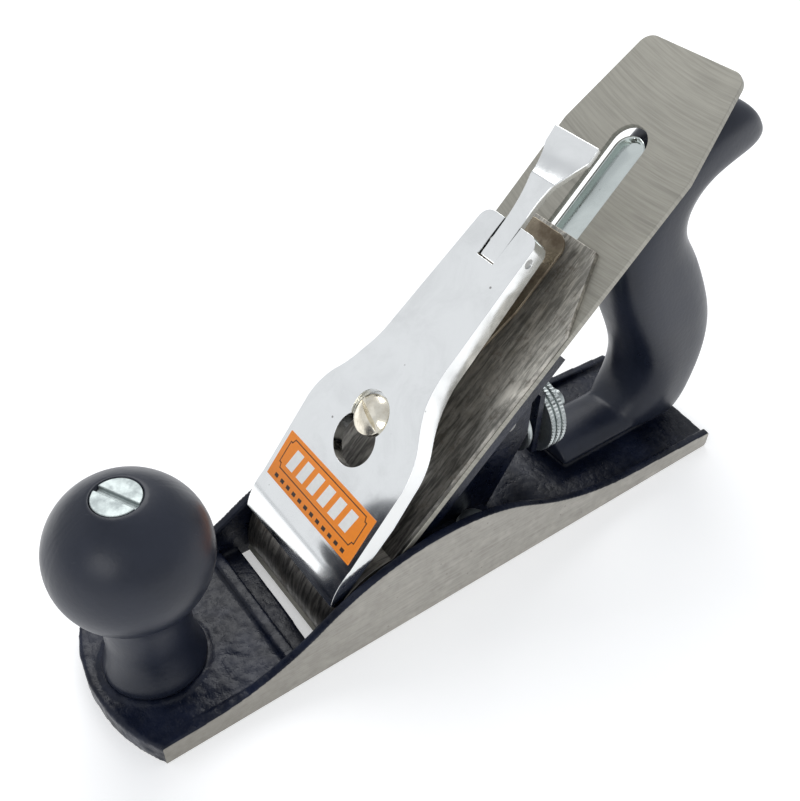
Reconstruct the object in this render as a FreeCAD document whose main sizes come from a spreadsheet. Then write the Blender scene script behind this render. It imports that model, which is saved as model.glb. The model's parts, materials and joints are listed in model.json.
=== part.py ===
import FreeCAD, Part
import math
import os
import re
import Sketcher

# Bench hand plane with an adjustable iron: cast body, ball knob, moulded tote,
# frog, double iron, lever cap with cam, depth nut and lateral lever.
# Frame: +X towards the toe, +Y towards the left cheek, +Z up, millimetres,
# origin at the middle of the sole.  Pieces bedded on the frog are drawn in the
# bed frame: X up the slope from where the iron's face meets the sole plane,
# Z square to the iron's face.

Vector = FreeCAD.Vector
Rotation = FreeCAD.Rotation

DIMENSIONS = {
    # body casting
    "body_length": 212, "body_width": 51, "wall": 2.8, "toe_radius": 46.7,
    "heel_radius": 150, "toe_height": 7.1, "heel_height": 5.5, "peak_height": 30,
    "peak_x": 11.5, "front_flank_x": 50, "front_flank_z": 18.8, "front_foot_x": 89,
    "rear_flank_x": -22, "rear_flank_z": 21.4, "rear_foot_x": -66, "rear_foot_z": 7.9,
    "peak_radius": 69.4, "front_foot_radius": 69.6, "rear_foot_radius": 104.6,
    "floor_height": 4.2, "deck_height": 6.8, "deck_x": 60.5, "rib_width": 3.5,
    "rib_height": 8, "mouth_near_gap": 1.9, "mouth_far_gap": 0.3, "mouth_length": 10.5,
    "mouth_half_width": 22.6, "seat_height": 7, "seat_rear_x": -16, "seat_half_width": 18,
    "boss_front_x": -54, "boss_rear_x": -103, "boss_half_width": 8, "boss_height": 8,
    "blind_hole_floor": 1.5, "knob_pad_margin": 0.8,
    # front knob and its stud
    "knob_x": 88, "knob_foot_radius": 13.8, "knob_foot_height": 7.4, "knob_waist_radius": 11.4,
    "knob_waist_height": 21, "ball_radius": 20.2, "ball_height": 51, "knob_top_radius": 6.4,
    "stud_radius": 3, "stud_bore_radius": 3.2, "nut_head_radius": 5.9, "nut_head_height": 2.2,
    "nut_barrel_radius": 4.4, "nut_barrel_length": 16, "knob_slot_turn": -63,
    "slot_width": 1.6, "slot_depth": 1.1,
    # tote
    "tote_foot_front_x": -51, "tote_foot_height": 5.6, "tote_foot_half_width": 11,
    "tote_stud_foot_x": -96, "tote_stud_top_x": -69, "tote_stud_top_z": 108,
    "tote_nut_radius": 5.5, "tote_nut_drop": 4, "tote_squareness": 2.8,
    # frog and its fastenings
    "bed_pitch": 45, "iron_foot_x": 50.8, "bed_gap": 0.1, "frog_top": 106,
    "bed_plate": 7, "frog_half_width": 20, "frog_rear_x": -26, "frog_foot_height": 12,
    "frog_rib_half_width": 10.5, "frog_gap_half_width": 6.5, "frog_lift": 0.05,
    "web_front_x": -10, "web_rear_x": -24, "web_height": 33.5,
    "frog_screw_x": -8, "frog_screw_y": 15.8, "frog_screw_radius": 2.4,
    "frog_screw_head": 4.3, "frog_slot": 3, "washer_height": 1, "washer_margin": 0.9,
    "screw_rim": 2, "screw_dome": 1.2, "screw_dome_radius": 9, "screw_slot": 1, "rib_foot_x": -16,
    "frog_screw_pocket": 12, "cap_screw_well_half": 8.4, "cap_screw_well_depth": 4,
    "yoke_slot_low": 74, "yoke_slot_high": 86, "yoke_slot_half": 3,
    "lateral_groove_half": 5.6, "lateral_groove_margin": 1.4,
    # irons
    "iron_width": 44.4, "iron_thickness": 2, "iron_edge": 4, "iron_shoulder": 159,
    "iron_top": 188, "iron_top_width": 32, "iron_corner": 3, "bevel_length": 3.8,
    "slot_half_width": 5.6, "slot_low": 38, "slot_high": 160, "slot_eye": 7.7,
    "cap_edge": 5.5, "cap_bend": 36, "cap_top": 132.5, "cap_corner": 111,
    "cap_top_width": 28, "cap_thickness": 1.8, "hump_radius": 19.1, "hump_inner_radius": 17,
    "cap_width": 44, "cap_screw_at": 50.5, "cap_screw_head": 7, "cap_screw_radius": 3.2,
    "cap_screw_head_height": 2.2, "cap_screw_slot": 1.6, "cap_window_low": 63,
    "cap_window_high": 69, "cap_window_half": 4.2, "cap_finger_half_length": 3.3,
    "cap_finger_half_width": 2.8, "cap_seat": 0.05, "cap_edge_height": 0.35,
    # lever cap, cam and spring
    "lever_tip": 18, "lever_top": 125.6, "lever_tip_low": 8.9, "lever_tip_high": 12,
    "lever_bend": 30, "lever_bend_high": 15.1, "lever_ridge": 76, "lever_ridge_high": 21,
    "lever_top_high": 19.2, "lever_skirt_at": 45, "lever_skirt_low": 10.9, "lever_low_at": 56,
    "lever_low": 13.2, "lever_tip_half": 22, "lever_wide_at": 56, "lever_wide_half": 22.3,
    "lever_narrow_at": 88, "lever_narrow_half": 12, "lever_top_half": 10.3,
    "lever_corner": 3.5, "lever_bend_radius": 20, "lever_shoulder_radius": 24,
    "hollow_low": 40, "hollow_split": 61, "hollow_wide": 18.6, "hollow_narrow": 8.2,
    "lever_plate": 4, "lever_end_wall": 3, "recess_radius": 6.6, "recess_floor": 17.5,
    "keyhole_at": 56.3, "keyhole_radius": 7.4, "keyhole_neck_at": 65, "keyhole_neck": 3.9,
    "lever_screw_at": 64.5, "lever_screw_head": 5.7, "lever_screw_shank": 3,
    "lever_screw_rim": 1.4, "lever_screw_crown": 3.2, "lever_screw_crown_radius": 10,
    "lever_screw_slot": 1.2, "lever_screw_slot_turn": 70, "rivet_boss_radius": 5,
    "cam_slot_at": 114.2, "cam_slot_half": 3.1, "cam_neck_half": 2.8, "cam_pin_at": 119.5,
    "cam_pin_high": 17.4, "cam_pin_radius": 1.3, "cam_hub_radius": 3.2, "cam_lobe": 7.3,
    "cam_hub_round": 9, "cam_tip": 151.5, "cam_tip_high": 19.4, "cam_paddle_half": 8,
    "cam_paddle_at": 147, "cam_flare_radius": 40,
    "spring_low": 72, "spring_high": 131, "spring_half": 8.5, "spring_thickness": 1,
    "spring_root": 9.2, "spring_free": 5.6, "spring_bend_a": 90, "spring_bend_b": 108,
    "spring_rivet_at": 82, "spring_rivet_radius": 1.6, "spring_corner": 4, "rivet_head_margin": 1.2,
    "label_low": 30.6, "label_high": 45, "label_half": 20.4, "label_thickness": 0.2,
    # depth adjustment
    "nut_axis_z": 28.5, "nut_radius": 12.4, "nut_groove_radius": 11.2, "nut_ring_front": -40.2,
    "nut_ring_pitch": 2.2, "nut_ring_width": 1.5, "nut_hub_radius": 4.6, "nut_collar_radius": 9.5,
    "nut_collar_front": -33.2, "nut_collar_rear": -34.8, "depth_stud_end": -54,
    "depth_stud_depth": 2,
    "yoke_at": 81, "yoke_depth": 24, "yoke_hub_radius": 5, "yoke_pin_radius": 2,
    "yoke_half_width": 6.1, "finger_half_length": 2.4, "finger_half_width": 2.3,
    "finger_tip": 1.5, "prong_x": -37.5, "prong_thickness": 2, "prong_low_z": 20.5,
    "prong_top_z": 44, "prong_inner": 5.2, "prong_outer": 8.4, "prong_bridge": 4.5,
    "arm_depth": 3.5, "arm_rise": 3.5, "arm_width": 6,
    # lateral adjustment
    "lateral_low": 86.5, "lateral_high": 163.5, "lateral_half_width": 3.9,
    "lateral_depth": 2.4, "lateral_sheet": 1.1, "lateral_flange": 3.2,
    "lateral_flange_from": 109, "lateral_rivet_at": 101, "lateral_rivet_radius": 1.8,
    "disc_at": 91.5, "disc_radius": 5.1, "disc_pin_radius": 1.5, "lateral_rivet_margin": 1.6,
    # clearances, and a length that passes right through any piece
    "running": 0.06, "stud_gap": 0.2, "through": 60,
}

doc = FreeCAD.newDocument("hand_plane")
size = doc.addObject("Spreadsheet::Sheet", "Size")
for row, (alias, number) in enumerate(DIMENSIONS.items(), start=1):
    size.set(f"A{row}", alias)
    size.set(f"B{row}", str(number))
    size.setAlias(f"B{row}", alias)
doc.recompute()


def value(expression):
    """Number that an expression of sheet names gives."""
    return float(size.evalExpression(expression))


def bind(item, prop, expression):
    """Bind a property to an expression of sheet names."""
    linked = re.sub(r"[a-z_]+[a-z]", lambda w: "Size." + w[0] if w[0] in DIMENSIONS else w[0], expression)
    item.setExpression(prop, linked)


def new_body(name):
    body = doc.addObject("PartDesign::Body", name)
    body.Label = name
    return body


def bed_placement():
    """Where the bed frame lies in the plane's own frame."""
    turn = Rotation(Vector(0, 1, 0), value("bed_pitch")) * Rotation(Vector(0, 0, 1), 180)
    return FreeCAD.Placement(Vector(value("iron_foot_x"), 0, 0), turn)


def place_on_bed(item):
    """Put a piece that was drawn in the bed frame where the bed is."""
    item.Placement = bed_placement().multiply(item.Placement)


def new_sketch(body, plane, offset="0"):
    sketch = body.newObject("Sketcher::SketchObject", body.Name + "_sketch")
    origin_plane = next(o for o in body.Origin.OriginFeatures if o.Role == plane)
    sketch.AttachmentSupport = [(origin_plane, "")]
    sketch.MapMode = "FlatFace"
    bind(sketch, "AttachmentOffset.Base.z", offset)
    return sketch


def pin_point(sketch, geometry, end, x, y):
    """Hold one point of a sketch at two expressions."""
    for kind, expression in (("DistanceX", x), ("DistanceY", y)):
        rule = Sketcher.Constraint(kind, -1, 1, geometry, end, value(expression))
        index = sketch.addConstraint(rule)
        bind(sketch, f"Constraints[{index}]", expression)


def set_radius(sketch, geometry, expression):
    index = sketch.addConstraint(Sketcher.Constraint("Radius", geometry, value(expression)))
    bind(sketch, f"Constraints[{index}]", expression)


def circle(sketch, x, y, radius):
    shape = Part.Circle(Vector(value(x), value(y), 0), Vector(0, 0, 1), value(radius))
    index = sketch.addGeometry(shape, False)
    pin_point(sketch, index, 3, x, y)
    set_radius(sketch, index, radius)


def arc_between(start, end, radius, left):
    """Short arc from start to end that turns left or right."""
    middle = (start + end) * 0.5
    half = (end - start) * 0.5
    side = Vector(-half.y, half.x, 0).normalize() * (1 if left else -1)
    centre = middle + side * (radius ** 2 - half.Length ** 2) ** 0.5
    first, last = (start, end) if left else (end, start)
    angle = [Vector(1, 0, 0).getAngle(p - centre) * (1 if p.y >= centre.y else -1) for p in (first, last)]
    return Part.ArcOfCircle(Part.Circle(centre, Vector(0, 0, 1), radius), angle[0], angle[1])


def outline(sketch, corners):
    """Closed outline; a corner is (x, y), or (x, y, radius, turn) to reach it by an arc."""
    points = [Vector(value(c[0]), value(c[1]), 0) for c in corners]
    edges = []
    for index, corner in enumerate(corners):
        start, end = points[index - 1], points[index]
        if len(corner) == 2:
            edges.append((sketch.addGeometry(Part.LineSegment(start, end), False), 1, 2))
        else:
            left = corner[3] == "left"
            arc = arc_between(start, end, value(corner[2]), left)
            edge = sketch.addGeometry(arc, False)
            edges.append((edge, 1, 2) if left else (edge, 2, 1))
            set_radius(sketch, edge, corner[2])
    for index, corner in enumerate(corners):
        edge, following = edges[index], edges[(index + 1) % len(edges)]
        joined = Sketcher.Constraint("Coincident", edge[0], edge[2], following[0], following[1])
        sketch.addConstraint(joined)
        pin_point(sketch, edge[0], edge[2], corner[0], corner[1])


def rectangle(sketch, x_low, x_high, y_low, y_high):
    outline(sketch, [(x_low, y_low), (x_high, y_low), (x_high, y_high), (x_low, y_high)])


def volume(body):
    doc.recompute()
    return body.Shape.Volume if body.Tip else 0.0


def feature(body, kind, sketch, length, symmetric, reverse):
    before = volume(body)
    step = body.newObject("PartDesign::" + kind, body.Name + "_" + kind.lower())
    step.Profile = sketch
    step.Reversed = reverse
    step.SideType = "Symmetric" if symmetric else "One side"
    bind(step, "Length", length)
    change = volume(body) - before
    if (change > 0) != (kind == "Pad"):
        raise RuntimeError(f"{step.Name} changed the volume by {change:.1f}")
    return step


def pad(body, sketch, length, symmetric=False, reverse=False):
    return feature(body, "Pad", sketch, length, symmetric, reverse)


def pocket(body, sketch, length, symmetric=False, reverse=False):
    return feature(body, "Pocket", sketch, length, symmetric, reverse)


def revolve(body, sketch):
    turn = body.newObject("PartDesign::Revolution", body.Name + "_revolution")
    turn.Profile = sketch
    turn.ReferenceAxis = (sketch, ["V_Axis"])
    turn.Angle = 360
    doc.recompute()


def side_pad(body, corners, length):
    """Pad a side outline evenly to both sides of the middle plane."""
    sketch = new_sketch(body, "XZ_Plane")
    outline(sketch, corners)
    pad(body, sketch, length, symmetric=True)


def side_pocket(body, corners, length):
    sketch = new_sketch(body, "XZ_Plane")
    outline(sketch, corners)
    pocket(body, sketch, length, symmetric=True)


def plate_pocket(body, draw):
    """Pocket a plan outline right through a plate that lies near the bed plane."""
    plan_pocket(body, draw, length="through", start="-through / 4")


def cross_hole(body, x, z, radius):
    """Round hole right through from side to side."""
    sketch = new_sketch(body, "XZ_Plane")
    circle(sketch, x, z, radius)
    pocket(body, sketch, "through", symmetric=True)


def plan_pocket(body, draw, length="body_length", start="0", up=True):
    """Pocket a plan outline from a height, upwards or downwards."""
    sketch = new_sketch(body, "XY_Plane", start)
    draw(sketch)
    pocket(body, sketch, length, reverse=up)


def plan_pad(body, draw, length, start="0"):
    sketch = new_sketch(body, "XY_Plane", start)
    draw(sketch)
    pad(body, sketch, length)


def slot_outline(sketch, low, high, half):
    """Straight slot along X with round ends centred at low and high."""
    outline(sketch, [(high, f"-{half}"), (f"{high} + {half}", "0", half, "left"),
                     (high, half, half, "left"), (low, half),
                     (f"{low} - {half}", "0", half, "left"), (low, f"-{half}", half, "left")])


def round_edges(body, radius, chosen):
    """Fillet the edges of the last shape that a test picks."""
    names = [f"Edge{i}" for i, edge in enumerate(body.Shape.Edges, 1) if chosen(edge)]
    if not names:
        raise RuntimeError(body.Name + ": no edge to round")
    before = body.Tip
    fillet = body.newObject("PartDesign::Fillet", body.Name + "_fillet")
    fillet.Base = (before, names)
    bind(fillet, "Radius", radius)
    doc.recompute()


def bar(name, centre, radius, length, axis="z", bore=None):
    """Round bar from a centre of one end, with an optional bore right through."""
    solid = doc.addObject("Part::Cylinder", name)
    bind(solid, "Radius", radius)
    bind(solid, "Height", length)
    turn = {"z": Rotation(), "y": Rotation(Vector(1, 0, 0), -90), "x": Rotation(Vector(0, 1, 0), -90)}[axis]
    place = FreeCAD.Placement(Vector(*[value(c) for c in centre]), turn)
    solid.Placement = place
    if bore:
        inner = doc.addObject("Part::Cylinder", name + "_bore")
        bind(inner, "Radius", bore)
        bind(inner, "Height", length)
        inner.Placement = place
        solid.Label = name + "_blank"
        cut = doc.addObject("Part::Cut", name + "_cut")
        cut.Base, cut.Tool = solid, inner
        solid = cut
    solid.Label = name
    return solid


# ---------------------------------------------------------------- body casting

def base_casting():
    body = new_body("base_casting")
    half_length, half_width = "body_length / 2", "body_width / 2"
    toe_corner = "body_length / 2 - toe_radius + sqrt(toe_radius ^ 2 - (body_width / 2) ^ 2)"
    inner = "body_width / 2 - wall"
    plan_pad(body, lambda s: outline(s, [
        (toe_corner, f"-{half_width}"), (half_length, "0", "toe_radius", "left"),
        (toe_corner, half_width, "toe_radius", "left"), (f"1 - {half_length}", half_width),
        (f"1 - {half_length}", f"-{half_width}", "heel_radius", "left")]), "peak_height")
    side_pocket(body, [
        ("body_length", "toe_height"), ("body_length", "peak_height + 5"),
        ("-body_length", "peak_height + 5"), ("-body_length", "heel_height - 5.7"),
        ("rear_foot_x", "rear_foot_z"), ("rear_flank_x", "rear_flank_z", "rear_foot_radius", "left"),
        ("peak_x", "peak_height", "peak_radius", "right"),
        ("front_flank_x", "front_flank_z", "peak_radius", "right"),
        ("front_foot_x", "toe_height", "front_foot_radius", "left")], "body_width * 2")
    # open channel behind the deck, then the shallow deck under the knob
    plan_pocket(body, lambda s: rectangle(s, "-body_length", "deck_x", f"-({inner})", inner),
                start="floor_height")
    plan_pocket(body, lambda s: outline(s, [
        ("deck_x", f"-({inner})"), (toe_corner, f"-({inner})"),
        (toe_corner, inner, "toe_radius", "left"), ("deck_x", inner)]), start="deck_height")
    plan_pad(body, lambda s: rectangle(s, "deck_x - rib_width", "deck_x", f"-({inner})", inner),
             "rib_height - floor_height", "floor_height")
    plan_pad(body, lambda s: circle(s, "knob_x", "0", "knob_foot_radius + knob_pad_margin"),
             "knob_foot_height - deck_height", "deck_height")
    plan_pad(body, lambda s: rectangle(s, "seat_rear_x", "iron_foot_x - seat_height - 5.5",
                                       "-seat_half_width", "seat_half_width"),
             "seat_height - floor_height", "floor_height")
    plan_pad(body, lambda s: rectangle(s, "boss_rear_x", "boss_front_x", "-boss_half_width",
                                       "boss_half_width"),
             "boss_height - floor_height", "floor_height")
    # mouth: its front edge is slightly out of square, wider at the left cheek
    plan_pocket(body, lambda s: outline(s, [
        ("iron_foot_x - mouth_length", "-mouth_half_width"),
        ("iron_foot_x + mouth_far_gap", "-mouth_half_width"),
        ("iron_foot_x + mouth_near_gap", "mouth_half_width"),
        ("iron_foot_x - mouth_length", "mouth_half_width")]))
    for side in ("frog_screw_y", "-frog_screw_y"):
        plan_pocket(body, lambda s: circle(s, "frog_screw_x", side, "frog_screw_radius"),
                    start="blind_hole_floor")
    plan_pocket(body, lambda s: circle(s, "knob_x", "0", "stud_radius"), start="blind_hole_floor")
    return body


def barrel_nut(name, place, head_radius):
    """Slotted nut: wide flat head above a bored barrel, top face at its origin."""
    body = new_body(name)
    sketch = new_sketch(body, "XZ_Plane")
    outline(sketch, [("stud_radius", "0 - nut_barrel_length"),
                     ("nut_barrel_radius", "0 - nut_barrel_length"),
                     ("nut_barrel_radius", "0 - nut_head_height"), (head_radius, "0 - nut_head_height"),
                     (head_radius, "0"), ("stud_radius", "0")])
    revolve(body, sketch)
    plan_pad(body, lambda s: circle(s, "0", "0", "stud_radius"), "nut_head_height", "0 - nut_head_height")
    plan_pocket(body, lambda s: rectangle(s, f"-{head_radius} - 1", f"{head_radius} + 1",
                                          "-slot_width / 2", "slot_width / 2"),
                length="slot_depth", up=False)
    body.Placement = place
    return body


def front_knob():
    body = new_body("front_knob")
    sketch = new_sketch(body, "XZ_Plane")
    top = "ball_height + sqrt(ball_radius ^ 2 - knob_top_radius ^ 2)"
    neck = "ball_height - sqrt(ball_radius ^ 2 - knob_waist_radius ^ 2)"
    outline(sketch, [
        ("stud_bore_radius", "knob_foot_height"), ("knob_foot_radius", "knob_foot_height"),
        ("knob_foot_radius", "knob_foot_height + 3"),
        ("knob_waist_radius", "knob_waist_height", "knob_foot_radius * 2", "right"),
        ("knob_waist_radius", neck),
        ("ball_radius", "ball_height", "ball_radius", "left"),
        ("knob_top_radius", top, "ball_radius", "left"),
        ("knob_top_radius", f"{top} - nut_head_height - stud_gap"),
        ("nut_barrel_radius + stud_gap", f"{top} - nut_head_height - stud_gap"),
        ("nut_barrel_radius + stud_gap", f"{top} - nut_barrel_length - 1"),
        ("stud_bore_radius", f"{top} - nut_barrel_length - 1")])
    revolve(body, sketch)
    body.Placement.Base = Vector(value("knob_x"), 0, 0)
    bar("knob_stud", ("knob_x", "0", "blind_hole_floor"), "stud_radius",
        f"{top} - nut_head_height - blind_hole_floor - 1")
    turn = Rotation(Vector(0, 0, 1), value("knob_slot_turn"))
    place = FreeCAD.Placement(Vector(value("knob_x"), 0, value(top)), turn)
    barrel_nut("knob_nut", place, "nut_head_radius")


# ---------------------------------------------------------------- tote

# Cross-sections of the grip from its heel to the tip of its horn: front x and z,
# rear x and z, half width.
TOTE_SECTIONS = [
    (-77, 8, -107.5, 8, 11.8), (-81.5, 17, -111.5, 20, 12.8), (-83.5, 27, -112.5, 33, 13.2),
    (-80, 38, -110.5, 46.5, 13.2), (-73.5, 50, -103.5, 61, 13), (-66, 65, -94.5, 74.5, 12.8),
    (-61, 80, -88, 83.5, 12.6), (-60, 91, -87, 90, 12.4), (-65, 101.5, -90.5, 96.5, 12.2),
    (-74, 111, -98, 100, 12), (-84.5, 117, -105, 101.5, 11.6), (-95, 119, -110, 103.5, 10.8),
    (-103, 116.5, -111.5, 107, 8.5),
]


def section_wire(front, rear, half):
    """Closed curve between an oval and a box, square to the middle plane."""
    centre, reach = (front + rear) * 0.5, (front - rear) * 0.5
    power = 2 / value("tote_squareness")
    points = []
    for step in range(24):
        angle = math.radians(15 * step)
        along = math.copysign(abs(math.cos(angle)) ** power, math.cos(angle))
        across = math.copysign(abs(math.sin(angle)) ** power, math.sin(angle))
        points.append(centre + reach * along + Vector(0, half * across, 0))
    curve = Part.BSplineCurve()
    curve.interpolate(points, PeriodicFlag=True)
    return Part.Wire(curve.toShape())


def tote_stud_place():
    foot = Vector(value("tote_stud_foot_x"), 0, value("floor_height"))
    top = Vector(value("tote_stud_top_x"), 0, value("tote_stud_top_z"))
    return foot, top, Rotation(Vector(0, 0, 1), top - foot)


def rear_tote():
    wires = []
    for front_x, front_z, rear_x, rear_z, half in TOTE_SECTIONS:
        wires.append(section_wire(Vector(front_x, 0, front_z), Vector(rear_x, 0, rear_z), half))
    grip = Part.makeLoft(wires, True)
    # the foot reaches forward along the bed, round-topped
    bottom = value("boss_height")
    half, height = value("tote_foot_half_width"), value("tote_foot_height")
    oval = Part.Ellipse(Vector(0, half, bottom), Vector(0, 0, bottom + height), Vector(0, 0, bottom))
    foot_front, foot_rear = value("tote_foot_front_x"), value("boss_rear_x") + 10
    face = Part.Face(Part.Wire(oval.toShape()))
    face.translate(Vector(foot_front, 0, 0))
    foot = face.extrude(Vector(foot_rear - foot_front, 0, 0))
    reach = value("body_length")
    above = Part.makeBox(reach, reach, reach, Vector(-reach, -reach / 2, bottom))
    tote = grip.fuse(foot.common(above)).common(above)
    base, top, turn = tote_stud_place()
    along = (top - base).normalize()
    bore = Part.makeCylinder(value("stud_bore_radius"), reach, base, along)
    seat = top - along * value("nut_head_height + tote_nut_drop")
    head = Part.makeCylinder(value("tote_nut_radius + stud_gap"), value("through"), seat, along)
    barrel = Part.makeCylinder(value("nut_barrel_radius + stud_gap"), value("nut_barrel_length"),
                               seat - along * value("nut_barrel_length - 1"), along)
    tote = tote.cut(bore.fuse([head, barrel])).removeSplitter()
    solid = doc.addObject("Part::Feature", "rear_tote")
    solid.Shape = tote.Solids[0]
    solid.Label = "rear_tote"
    stud = bar("tote_stud", ("0", "0", "0"), "stud_radius", "tote_stud_top_z - floor_height - 6")
    stud.Placement = FreeCAD.Placement(base, turn)
    nut_top = top - along * value("tote_nut_drop")
    barrel_nut("tote_nut", FreeCAD.Placement(nut_top, turn), "tote_nut_radius")


# ---------------------------------------------------------------- frog

def bed_point(along, square):
    """Row-frame x and z, as expressions, of a point given in the bed frame."""
    x = f"iron_foot_x - ({along}) * cos(bed_pitch) + ({square}) * sin(bed_pitch)"
    z = f"({along}) * sin(bed_pitch) + ({square}) * cos(bed_pitch)"
    return x, z


def frog():
    body = new_body("frog")
    face, back = "0 - iron_thickness - bed_gap", "0 - iron_thickness - bed_plate"
    low = "seat_height + frog_lift"
    foot_at = f"({low} - ({face}) * cos(bed_pitch)) / sin(bed_pitch)"
    back_at = f"({low} - ({back}) * cos(bed_pitch)) / sin(bed_pitch)"
    side_pad(body, [bed_point(foot_at, face), bed_point("frog_top", face),
                    bed_point("frog_top", back), bed_point(back_at, back)], "frog_half_width * 2")
    foot_x = bed_point(back_at, back)[0]
    side_pad(body, [(f"{foot_x} + 4", low), (f"{foot_x} + 4", "frog_foot_height"),
                    ("rib_foot_x", "frog_foot_height"), ("rib_foot_x", low)],
             "frog_half_width * 2")
    rib_top = bed_point("frog_top", back)
    side_pad(body, [(f"{foot_x} + 4", low), bed_point("frog_top - 2", f"{back} + 1"), rib_top,
                    ("frog_rear_x - 5", "web_height"), ("rib_foot_x", low)],
             "frog_rib_half_width * 2")
    side_pocket(body, [("frog_rear_x - 30", "frog_foot_height"),
                       (f"{foot_x} - 6", "frog_foot_height"), bed_point("frog_top + 30", back),
                       ("frog_rear_x - 30", "frog_top")], "frog_gap_half_width * 2")
    side_pad(body, [("web_rear_x", low), ("web_front_x", low), ("web_front_x", "web_height"),
                    ("web_rear_x", "web_height")], "frog_gap_half_width * 2")
    sketch = new_sketch(body, "YZ_Plane", "web_rear_x - 20")
    circle(sketch, "0", "nut_axis_z", "stud_radius")
    pocket(body, sketch, "20 + web_front_x - web_rear_x - depth_stud_depth", reverse=True)
    for side in ("frog_screw_y", "-frog_screw_y"):
        plan_pocket(body, lambda s: outline(s, [
            ("frog_screw_x - frog_slot", f"{side} - frog_slot"),
            ("frog_screw_x + frog_slot + 2", f"{side} - frog_slot"),
            ("frog_screw_x + frog_slot + 2", f"{side} + frog_slot"),
            ("frog_screw_x - frog_slot", f"{side} + frog_slot")]),
            length="frog_screw_pocket", start="frog_foot_height + 1", up=False)
    return bed_holes(body)


def bed_holes(frame):
    """Openings of the bed: cap-screw recess, lever-cap screw, yoke slot, lateral lever."""
    tools = new_body("frog_openings")
    plan_pad(tools, lambda s: slot_outline(s, "cap_screw_at - 6", "cap_screw_at + 4",
                                           "cap_screw_well_half"),
             "cap_screw_well_depth + 1", "0 - iron_thickness - bed_gap - cap_screw_well_depth")
    deep = "-through / 4"
    plan_pad(tools, lambda s: circle(s, "lever_screw_at", "0", "lever_screw_shank"), "through / 3", deep)
    plan_pad(tools, lambda s: rectangle(s, "yoke_slot_low", "yoke_slot_high", "-yoke_slot_half",
                                        "yoke_slot_half"), "through / 2", "-through / 3")
    plan_pad(tools, lambda s: rectangle(s, "lateral_low - lateral_groove_margin", "frog_top + 10",
                                        "-lateral_groove_half", "lateral_groove_half"),
             "through / 4", "0 - lateral_depth - lateral_sheet - 0.3")
    plan_pad(tools, lambda s: circle(s, "lateral_rivet_at", "0", "lateral_rivet_radius"),
             "through / 3", deep)
    sketch = new_sketch(tools, "XZ_Plane")
    circle(sketch, "yoke_at", "0 - yoke_depth", "yoke_pin_radius")
    pad(tools, sketch, "through", symmetric=True)
    place_on_bed(tools)
    frame.Label = "frog_blank"
    cut = doc.addObject("Part::Cut", "frog_cut")
    cut.Base, cut.Tool = frame, tools
    cut.Label = "frog"
    doc.recompute()
    return cut


def pair(name, pieces):
    """One node that holds identical pieces."""
    group = doc.addObject("Part::Compound", name + "_pair")
    group.Links = pieces
    group.Label = name
    return group


def frog_fastenings():
    screws, washers = [], []
    for index, side in enumerate(("frog_screw_y", "-frog_screw_y")):
        under = "frog_foot_height + 0.05"
        washers.append(bar(f"washer_{index}", ("frog_screw_x", side, under),
                           "frog_screw_head + washer_margin", "washer_height",
                           bore="frog_screw_radius + 0.1"))
        screw = new_body(f"screw_{index}")
        sketch = new_sketch(screw, "XZ_Plane")
        head = f"{under} + washer_height"
        outline(sketch, [("0", "blind_hole_floor"), ("frog_screw_radius", "blind_hole_floor"),
                         ("frog_screw_radius", head), ("frog_screw_head", head),
                         ("frog_screw_head", f"{head} + screw_rim"),
                         ("0", f"{head} + screw_rim + screw_dome", "screw_dome_radius", "left")])
        revolve(screw, sketch)
        plan_pocket(screw, lambda s: rectangle(
            s, "0 - frog_screw_head - 2", "frog_screw_head + 2", "-screw_slot / 2", "screw_slot / 2"),
            start=f"{head} + screw_rim - 0.2")
        screw.Placement.Base = Vector(value("frog_screw_x"), value(side), 0)
        screws.append(screw)
    pair("frog_screws", screws)
    pair("frog_washers", washers)


# ---------------------------------------------------------------- irons

def cutting_iron():
    body = new_body("cutting_iron")
    side_pad(body, [("iron_edge", "0"), ("iron_edge + bevel_length", "0 - iron_thickness"),
                    ("iron_top", "0 - iron_thickness"), ("iron_top", "0")], "iron_width")
    for sign, turn in (("", "right"), ("-", "left")):
        low, high = f"{sign}iron_width / 2", f"{sign}iron_top_width / 2"
        plate_pocket(body, lambda s: outline(s, [
            ("iron_shoulder", low), ("iron_top - iron_corner", f"{high} + ({sign}1)"),
            ("iron_top", f"{high} - ({sign}iron_corner)", "iron_corner + 1", turn),
            ("iron_top + 5", f"{high} - ({sign}iron_corner)"), ("iron_top + 5", f"{low} + ({sign}5)"),
            ("iron_shoulder", f"{low} + ({sign}5)")]))
    plate_pocket(body, lambda s: slot_outline(s, "slot_low", "slot_high", "slot_half_width"))
    plate_pocket(body, lambda s: circle(s, "slot_low - 3", "0", "slot_eye"))
    place_on_bed(body)


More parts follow.
